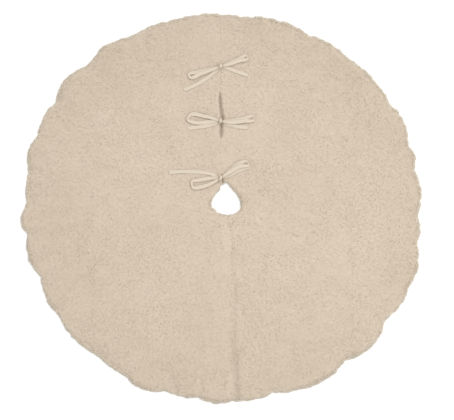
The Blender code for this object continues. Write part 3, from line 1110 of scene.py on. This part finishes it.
@dataclass(frozen=True)
class Pile:
    """Tips of pile that stand out of the panel's face, leaning together in drifts."""

    panel: PlushPanel
    around: tuple[float, float]
    name: str
    spacing: float = 0.0033
    length: tuple[float, float] = (0.0042, 0.0068)
    thickness: float = 0.0011
    rooting: float = 0.0009
    reach: tuple[float, float] = (0.050, 0.605)
    steps: tuple[float, float] = (0.7548776662, 0.5698402910)  # even spread without a grid
    drifts: Patches = ((62, 0.09, 2.6), (63, 0.03, 1.2))

    def template(self) -> Shell:
        """Returns: one three-sided tip along its third axis."""
        points = np.concatenate([circle(3), [[0.0, 0.0, 1.0]]])
        return Shell(points, triangles=np.array([[0, 1, 3], [1, 2, 3], [2, 0, 3], [2, 1, 0]]))

    def build(self, wardrobe: Wardrobe) -> Object:
        """Args: wardrobe. Returns: the tips over one part of the panel."""
        (start, end), (inner, outer) = self.around, self.reach
        count = int(math.pi * (outer**2 - inner**2) / 2 * (end - start) / self.spacing**2)
        number = np.arange(count)
        along, out = ((0.5 + number * step) % 1 for step in self.steps)
        u = 0.0006 + 0.9988 * (start + (end - start) * along)
        v = (np.sqrt(inner**2 + out * (outer**2 - inner**2)) - inner) / (outer - inner)
        v = 0.004 + 0.985 * v
        x, y = self.panel.half.place(u, v)
        height, depth = self.panel.top(u, v)
        chance = np.random.default_rng(61 + len(self.name))
        drift = layered(SoftNoise, x, y, *self.drifts) + chance.normal(0, 0.6, count) - 1.3
        climb = np.clip(chance.normal(0.27, 0.12, count), 0.08, 0.7)
        climb = climb * (0.75 + 0.25 * self.panel.away_from_bows(x, y))
        flat = np.column_stack([np.cos(drift), np.sin(drift)])
        heading = np.column_stack([flat * np.cos(climb)[:, None], np.sin(climb)])
        side = np.column_stack([-flat[:, 1], flat[:, 0], np.zeros(count)])
        length = chance.uniform(*self.length, count)[:, None]
        thick = self.thickness
        axes = np.stack([side * thick, np.cross(heading, side) * thick, heading * length], 1)
        origins = np.column_stack([x, y, height - self.rooting])
        # painted shade: the face's shade under each tip, plus more at its three root corners
        deep = np.repeat(depth, 4) + np.tile([0.2, 0.2, 0.2, 0.0], count)
        shell, cloth = copies(self.template(), origins, axes), np.repeat(origins[:, :2], 4, axis=0)
        made = shell.object(self.name, cloth=cloth, depth=deep)
        return across_fold(wardrobe.dress(made, Slot.PLUSH, wardrobe.pile))


@dataclass(frozen=True)
class LiningPanel:
    """One half of the thin backing cloth."""

    half: HalfRing
    columns: int = 340
    rows: int = 70
    bottom: float = 0.0001
    thickness: float = 0.0009
    wrinkle: float = 0.00025

    def build(self, wardrobe: Wardrobe) -> Object:
        """Args: wardrobe. Returns: the lining, a closed thin sheet with faint wrinkles."""
        word = self.half.side.word
        us, vs = packed(self.columns, (6, 0.012), (5, 0.030)), packed(self.rows, (2, 0.02), (2, 0.02))
        u, v = np.meshgrid(us, vs, indexing="ij")
        x, y = self.half.place(u, v)
        low = self.bottom + self.wrinkle * (0.5 + 0.5 * SoftNoise(41, 0.05).at(x, y))
        top = np.dstack([x, y, low + self.thickness - self.wrinkle]).reshape(-1, 3)
        points = np.concatenate([top, np.dstack([x, y, low]).reshape(-1, 3)])
        loop = border(np.arange(u.size).reshape(u.shape))
        faces = [grid_quads(*u.shape)[:, ::-1], grid_quads(*u.shape, first=u.size)]
        quads = np.concatenate([*faces, band(loop, loop + u.size)[:, ::-1]])
        made = Shell(points, quads).object(f"lining_cloth_{word}", cloth=points[:, :2])
        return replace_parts(across_fold(wardrobe.dress(made, Slot.LINING)), f"lining_{word}")


@dataclass(frozen=True)
class StitchRow:
    """A row of separate stitches along a line."""

    name: str
    line: Array
    pitch: float
    length: float
    thickness: float
    slant: float = 0.0
    stations: Route = (  # shares of the length and of the thickness
        (-0.5, 0.35), (-0.36, 0.9), (0.0, 1.0), (0.36, 0.9), (0.5, 0.35),
    )

    def template(self) -> Shell:
        """Returns: one plump stitch along its third axis, a six-sided spindle."""
        station = np.array(self.stations)
        rings = station[:, 1, None, None] * circle(6)
        rings[..., 2] = station[:, :1]
        return swept(rings)

    def build(self, wardrobe: Wardrobe) -> Object:
        """Args: wardrobe. Returns: the stitches as one piece."""
        length = run_along(self.line)[-1]
        count = max(2, int(length / self.pitch))
        place = (np.arange(count) + 0.5) * length / count
        along = unit(points_at(self.line, place + 1e-3) - points_at(self.line, place - 1e-3))
        up = np.broadcast_to([0.0, 0.0, 1.0], along.shape)
        heading = unit(along + unit(np.cross(up, along)) * self.slant)
        across = unit(np.cross(up, heading)) * self.thickness / 2
        axes = np.stack([across, np.cross(heading, across), heading * self.length], 1)
        made = copies(self.template(), points_at(self.line, place), axes).object(self.name)
        return wardrobe.dress(made, Slot.THREAD)


# ---------------------------------------------------------------- ties


@dataclass(frozen=True)
class Ribbon:
    """One free ribbon of a bow: a cupped strip with thicker selvedges along a smooth line."""

    name: str
    strand: Strand
    knot: Array
    route: Route
    width: float = 0.0115
    thickness: float = 0.0007
    root_width: float = 0.0050
    turn_width: float = 0.0066
    root_reach: float = 0.0062
    loop_height: float = 0.01490
    loop_climb: float = 0.0025
    tail_height: float = 0.01355
    lift: float = 0.0003
    twist: float = 0.05
    turn_tilt: float = 0.45
    phase: float = 0.0
    spread: tuple[float, ...] = (-1, -0.97, -0.86, -0.7, -0.45, -0.15, 0.15, 0.45, 0.7, 0.86, 0.97, 1)
    plump: tuple[float, ...] = (0.35, 0.62, 0.62, 0.42, 0.4, 0.4, 0.4, 0.4, 0.42, 0.62, 0.62, 0.35)

    def line(self) -> Array:
        """Returns: the centreline, evenly spaced; a loop's returns to the knot above its start."""
        loop = self.strand is Strand.LOOP
        flat = np.array(self.route) / 1000
        start, end = (p / np.linalg.norm(p) * self.root_reach for p in (flat[0], flat[-1]))
        flat = np.concatenate([[start], flat, [end]] if loop else [[start], flat])
        share = np.linspace(0, 1, len(flat))
        if loop:
            height = self.loop_height + self.loop_climb * np.clip((share - 0.25) / 0.5, 0, 1)
        else:
            height = self.tail_height + 0.0002 * (share == 0)
        line = smooth_path(np.column_stack([flat + self.knot[:2], height]), 90 if loop else 70)
        share = np.linspace(0, 1, len(line))
        wave = np.sin(share * math.pi) * (0.6 + 0.4 * np.sin(share * 9 + self.phase))
        line[:, 2] += self.lift * np.clip(wave, 0, 1) * (0.3 if loop else 1.0)
        return line

    def shell(self) -> tuple[Shell, Array, Array]:
        """Returns: the closed strip, each point's place across and along it, and its centreline."""
        line = self.line()
        share = np.linspace(0, 1, len(line))
        along = unit(np.gradient(line, axis=0))
        across = unit(np.cross([0.0, 0.0, 1.0], along))
        roots = np.exp(-share / 0.07)
        if self.strand is Strand.LOOP:
            roots = roots + np.exp(-(1 - share) / 0.07)
        roots = np.clip(roots, 0, 1)
        width = self.width + (self.root_width - self.width) * roots
        width = width * (1 + 0.05 * np.sin(share * 14 + self.phase))
        tilt = self.twist * np.sin(share * 7 + self.phase) * ease(0.0, 0.15, share)
        if self.strand is Strand.LOOP:
            turning = bell(share - 0.5, 0.07)
            width = width + (self.turn_width - self.width) * turning
            tilt = self.turn_tilt * turning * self._turning(line) + tilt * 0.4
        sideways = across * np.cos(tilt)[:, None] + np.array([0, 0, 1.0]) * np.sin(tilt)[:, None]
        up = unit(np.cross(along, sideways))
        s = np.concatenate([self.spread, self.spread[::-1]])
        half = np.concatenate([self.plump, -np.array(self.plump[::-1])]) * self.thickness
        cup = 0.035 + 0.015 * np.sin(share * 5 + self.phase) + 0.04 * roots
        bow = (s**2 - 0.35) * (cup * width)[:, None]
        rings = line[:, None] + sideways[:, None] * (s[:, None] * width[:, None, None] / 2)
        rings = rings + up[:, None] * (half[:, None] + bow[..., None])
        run = share * run_along(line)[-1]
        cloth = np.dstack(np.broadcast_arrays(s * self.width / 2, run[:, None])).reshape(-1, 2)
        return swept(rings), np.concatenate([cloth, [[0, 0], [0, run[-1]]]]), line

    @staticmethod
    def _turning(line: Array) -> float:
        """Args: line. Returns: 1 where the loop turns so that its outside is to its right, else -1."""
        ahead = np.diff(line[:, :2], axis=0)
        turn = ahead[:-1, 0] * ahead[1:, 1] - ahead[:-1, 1] * ahead[1:, 0]
        return -1.0 if turn.sum() > 0 else 1.0

    def build(self, wardrobe: Wardrobe) -> Object:
        """Args: wardrobe. Returns: the ribbon, on its own body."""
        shell, cloth, line = self.shell()
        made = wardrobe.dress(shell.object(f"ribbon_{self.name}", cloth=cloth), Slot.RIBBON)
        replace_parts(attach(made, self.name), self.name)
        return made


@dataclass(frozen=True)
class Bow:
    """One tie: a wrapped knot, two loops, two tails, and a sewn strap on each edge of the slit."""

    word: str
    knot: Array
    routes: Mapping[str, Route]
    knot_size: tuple[float, float, float] = (0.0062, 0.0071, 0.0056)
    core_size: tuple[float, float, float] = (0.9, 0.86, 0.86)
    wrap_width: float = 0.0036
    wrap_slant: float = 0.0009
    wrap_thickness: float = 0.0007
    strap_size: tuple[float, float, float] = (0.0006, 0.011, 0.0075)
    strap_top: float = -0.0063
    strap_foot: float = 0.0046

    def ribbons(self) -> list[Ribbon]:
        """Returns: the bow's two loops and two tails."""
        made = []
        for number, (kind, route) in enumerate(self.routes.items()):
            phase, strand = 1.7 * number + len(self.word), Strand(kind.split("_")[0])
            made.append(Ribbon(f"{kind}_{self.word}", strand, self.knot, route, phase=phase))
        return made

    def knot_shell(self) -> tuple[Shell, Array]:
        """The knot: an egg with pleats, and a band of ribbon wrapped over it across the slit.

        Returns: the closed surfaces, and each point's place on the ribbon.
        """
        turn = np.linspace(0, FULL_TURN, 40, endpoint=False)
        a, b = np.meshgrid(np.linspace(0.06, math.pi - 0.06, 22), turn, indexing="ij")
        pleat = 1 + 0.05 * np.sin(b * 5 + 2.4 * np.cos(a)) * np.sin(a)
        egg = np.dstack([np.cos(a), np.sin(a) * np.cos(b), np.sin(a) * np.sin(b)]) * pleat[..., None]
        core = swept(egg * np.array(self.core_size) * self.knot_size + self.knot)
        ring = np.linspace(0, FULL_TURN, 44, endpoint=False)
        s = np.array([-1, -0.8, -0.5, -0.2, 0.2, 0.5, 0.8, 1, 0.8, 0.5, 0.2, -0.2, -0.5, -0.8])
        thick = np.array([0, 0.7, 0.5, 0.75, 0.75, 0.5, 0.7, 0, -0.5, -0.5, -0.5, -0.5, -0.5, -0.5])
        thick, bulge = thick * self.wrap_thickness, 1 - 0.10 * s**2
        c, d = np.cos(ring)[:, None], np.sin(ring)[:, None]
        wide = self.wrap_width * (1 + 0.08 * np.sin(ring * 2 + 1))[:, None]
        deep, tall = (size * bulge + thick for size in self.knot_size[1:])
        wrap = np.dstack([s * wide + self.wrap_slant * c, deep * c, tall * d]) + self.knot
        quads = grid_quads(len(ring) + 1, len(s), wrap=True) % (len(ring) * len(s))
        both = joined([core.outward(), Shell(wrap.reshape(-1, 3), quads).outward()])
        on_core = np.column_stack([b.ravel() * 0.004, a.ravel() * 0.006])
        on_wrap = np.column_stack([np.tile(s * 0.004, len(ring)), np.repeat(ring * 0.0065, len(s))])
        return both, np.concatenate([on_core, np.zeros((2, 2)), on_wrap])

    def strap_shell(self, side: Side) -> tuple[Shell, Array]:
        """Args: side. Returns: a strap from the knot down the slit, its foot out, and its cloth places."""
        x, y, z = self.knot
        thickness, width, length = self.strap_size
        rows = np.linspace(0, 1, 14)
        top = z + self.strap_top
        height = top + (self.strap_foot - top) * rows
        out = x + side.value * (0.0006 + 0.0012 * ease(0.5, 1.0, rows))
        s = np.array([-1, -0.9, -0.4, 0.4, 0.9, 1, 0.9, 0.4, -0.4, -0.9])
        thick = np.array([0, 0.5, 0.4, 0.4, 0.5, 0, -0.5, -0.4, -0.4, -0.5]) * thickness
        narrow = (0.62 + 0.38 * ease(0.0, 0.5, rows)) * width / 2
        parts = (out[:, None] + thick, y + s * narrow[:, None], height[:, None])
        place = np.column_stack([np.tile(s * width / 2, len(rows)), np.repeat(rows * length, len(s))])
        return swept(np.dstack(np.broadcast_arrays(*parts))), np.concatenate([place, np.zeros((2, 2))])

    def build(self, wardrobe: Wardrobe) -> list[Object]:
        """Args: wardrobe. Returns: every piece of the bow."""
        pieces = [ribbon.build(wardrobe) for ribbon in self.ribbons()]
        shell, place = self.knot_shell()
        knot = wardrobe.dress(shell.object(f"tie_knot_{self.word}", cloth=place), Slot.RIBBON)
        pieces.append(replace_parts(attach(knot, "left_half"), f"knot_{self.word}"))
        for side in Side:
            tag = f"{side.word}_{self.word}"
            shell, place = self.strap_shell(side)
            strap = wardrobe.dress(shell.object(f"tie_strap_{tag}", cloth=place), Slot.RIBBON)
            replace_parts(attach(strap, side.body), f"strap_{tag}")
            span = self.knot[1] + np.linspace(-0.0042, 0.0042, 20)
            x = self.knot[0] + side.value * 0.0018
            line = np.column_stack([np.full(20, x), span, np.full(20, 0.0049)])
            name = f"tie_stitches_{tag}"
            row = StitchRow(name, line, pitch=0.0021, length=0.0016, thickness=0.0006, slant=0.5)
            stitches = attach(row.build(wardrobe), side.body)
            pieces += [strap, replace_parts(stitches, f"strap_stitch_{tag}")]
        return pieces


# Each ribbon's route out from its knot, in millimetres.
BOW_ROUTES: Mapping[str, Mapping[str, Route]] = {
    "upper": {
        "loop_left": ((-45, -11), (-74, -18), (-98, -25), (-95, -33), (-60, -22), (-24, -9)),
        "tail_left": ((-24, -22), (-50, -41), (-80, -58), (-113, -72)),
        "loop_right": ((34, 14), (60, 25), (80, 34), (84, 26), (56, 17), (24, 6)),
        "tail_right": ((22, -5), (44, -13), (64, -20), (84, -27)),
    },
    "middle": {
        "loop_left": ((-40, -3), (-78, -5), (-102, 5), (-94, 18), (-52, 15), (-20, 7)),
        "tail_left": ((-24, -10), (-46, -15), (-72, -19), (-101, -22)),
        "loop_right": ((34, 2), (70, 7), (102, 13), (104, 5), (72, 0), (28, -4)),
        "tail_right": ((22, -9), (42, -15), (62, -18), (84, -20)),
    },
    "lower": {
        "loop_left": ((-34, -1), (-64, -6), (-88, -12), (-87, -27), (-54, -26), (-20, -12)),
        "tail_left": ((-28, 12), (-60, 18), (-108, 20), (-160, 18)),
        "loop_right": ((30, 25), (58, 45), (84, 50), (87, 41), (60, 36), (28, 18)),
        "tail_right": ((26, 8), (48, 19), (70, 28), (93, 34)),
    },
}


# ---------------------------------------------------------------- studio


@dataclass(frozen=True)
class Studio:
    """Camera straight above, pale floor and soft light from beyond the slit."""

    aim: tuple[float, float] = (0.0180, -0.0040)
    pile: float = 0.012
    distance: float = 3.887
    lens: float = 100.0
    sensor: float = 36.0
    floor_side: float = 80.0
    floor_level: float = -0.0006
    floor_tint: Rgb = (0.93, 0.93, 0.925)
    floor_glow: float = 0.12
    world_strength: float = 0.94

    def camera(self) -> None:
        """Makes the camera, looking straight down with +Y up."""
        data = bpy.data.cameras.new("camera")
        data.lens, data.sensor_width, data.clip_end = self.lens, self.sensor, 100.0
        made = placed("camera", data)
        made.location = (*self.aim, self.pile + self.distance)
        bpy.context.scene.camera = made

    def floor(self) -> None:
        """Makes the floor, staged."""
        half = self.floor_side / 2
        corners = [(-half, -half, 0), (half, -half, 0), (half, half, 0), (-half, half, 0)]
        mesh = bpy.data.meshes.new("floor")
        mesh.from_pydata(corners, [], [(0, 1, 2, 3)])
        made = placed("floor", mesh)
        made.location.z = self.floor_level
        glow = {"Emission Color": colour((1.0, 1.0, 1.0)), "Emission Strength": self.floor_glow}
        look = {"Base Color": colour(self.floor_tint), **gloss(0.9, 0.1), **glow}
        mesh.materials.append(Paint("pale_floor").finish(look))

    @staticmethod
    def light(name: str, kind: str, source: Vector, **settings: float) -> Object:
        """Args: name; kind; source, where it comes from; settings. Returns: it, facing the skirt."""
        data = bpy.data.lights.new(name, kind)
        for key, value in settings.items():
            setattr(data, key, value)
        made = placed(name, data)
        made.rotation_euler = (-source).to_track_quat("-Z", "Y").to_euler()
        return made

    def build(self) -> None:
        """Makes the whole studio: a wide sun from beyond the slit, a panel and an even pale world."""
        self.camera()
        self.floor()
        self.light("key", "SUN", Vector((0.30, 1.0, 1.9)), energy=0.68, angle=math.radians(45.0))
        place = Vector((2.6, 0.3, 2.6))
        self.light("side", "AREA", place, size=2.4, energy=32.0).location = place
        world = bpy.data.worlds.new("studio")
        bpy.context.scene.world = world
        world.use_nodes = True
        back = world.node_tree.nodes["Background"]
        back.inputs["Color"].default_value = colour((1.0, 1.0, 1.0))
        back.inputs["Strength"].default_value = self.world_strength
        bpy.context.scene.view_settings.view_transform = "Standard"


@dataclass(frozen=True)
class TreeSkirt:
    """The whole skirt.

    flat_sizes holds each half's width, length and area, lying flat; it is not used.
    """

    hole_middle: tuple[float, float] = (0.0160, 0.0201)
    rim_middle: tuple[float, float] = (-0.0020, 0.0021)
    rim_trim: float = 0.0022
    lining_inset: float = 0.0030
    lining_slit_gap: float = 0.0084
    lining_seam_gap: float = 0.0012
    seam_gap: float = 0.00008
    slit: Slit = Slit()
    flat_sizes: Mapping[Side, tuple[float, float, float]] = field(
        default_factory=lambda: {Side.LEFT: (0.667, 1.202, 0.594), Side.RIGHT: (0.619, 1.195, 0.557)}
    )

    def panels(self, outline: Outline, side: Side) -> tuple[PlushPanel, LiningPanel]:
        """Args: outline; side. Returns: that half's plush and lining."""
        sign, fold = side.value, FOLD_START[0]
        plush = HalfRing(
            outline,
            side,
            lambda y: self.slit.edge(side, y),
            lambda y: outline.seam(y) + sign * self.seam_gap / 2,
            self.rim_trim,
        )
        lining = HalfRing(
            outline,
            side,
            lambda y: np.full_like(y, fold + sign * self.lining_slit_gap / 2),
            lambda y: outline.seam(y) + sign * self.lining_seam_gap / 2,
            self.lining_inset,
        )
        return PlushPanel(plush, self.slit), LiningPanel(lining)

    def edge_line(self, half: HalfRing, height: float) -> Array:
        """Args: half; height. Returns: the line round its rim, slit and hole, at that height."""
        t = np.linspace(0, 1, 900)
        short, zero = t[::3], np.zeros(300)
        runs = [(t[::-1], np.ones(900)), (zero, short[::-1]), (short, zero)]
        line = np.concatenate([np.column_stack(half.place(u, v)) for u, v in runs])
        return np.column_stack([line, np.full(len(line), height)])

    def seam_line(self, outline: Outline, height: float) -> Array:
        """Args: outline; height. Returns: the line down the seam, at that height."""
        y = np.linspace(-0.026, -0.592, 400)
        return np.column_stack([outline.seam(y), y, np.full(400, height)])

    def build(self, wardrobe: Wardrobe) -> list[Object]:
        """Args: wardrobe. Returns: every piece."""
        pieces = []
        for word, routes in BOW_ROUTES.items():
            low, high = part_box(f"knot_{word}")
            made = Bow(word, np.array((low + high) / 2), routes).build(wardrobe)
            LOG.info("bow %s: %s", word, ", ".join(piece.name for piece in made))
            pieces += made
        outline = Outline.read(self.hole_middle, self.rim_middle)
        for side in Side:
            plush, lining = self.panels(outline, side)
            sheet, fringe = plush.build(wardrobe), Fringe(plush).build(wardrobe)
            drifts = [
                Pile(plush, part, f"plush_tips_{side.word}_{end}").build(wardrobe)
                for end, part in (("slit", (0.0, 0.5)), ("seam", (0.5, 1.0)))
            ]
            cloth = lining.build(wardrobe)
            line = self.edge_line(lining.half, 0.0010)
            name = f"edge_stitches_{side.word}"
            row = StitchRow(name, line, pitch=0.0062, length=0.0050, thickness=0.0007, slant=0.35)
            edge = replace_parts(across_fold(row.build(wardrobe)), f"edge_thread_{side.word}")
            made = [sheet, fringe, *drifts, cloth, edge]
            LOG.info("%s half: %s", side.word, ", ".join(piece.name for piece in made))
            pieces += made
        for name, height, thick in (("plush", 0.0066, 0.0009), ("lining", 0.0006, 0.0006)):
            line = self.seam_line(outline, height)
            row = StitchRow(f"{name}_seam_stitches", line, pitch=0.0048, length=0.0040, thickness=thick)
            made = across_fold(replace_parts(row.build(wardrobe), f"{name}_seam_thread"))
            LOG.info("%s seam: %s", name, made.name)
            pieces.append(made)
        return pieces


def main() -> None:
    """Builds the studio and the skirt, and logs how many pieces it made."""
    logging.basicConfig(level=logging.INFO, format="%(message)s")
    Studio().build()
    pieces = TreeSkirt().build(Wardrobe.make())
    LOG.info("%d pieces", len(pieces))


if __name__ == "__main__":
    main()
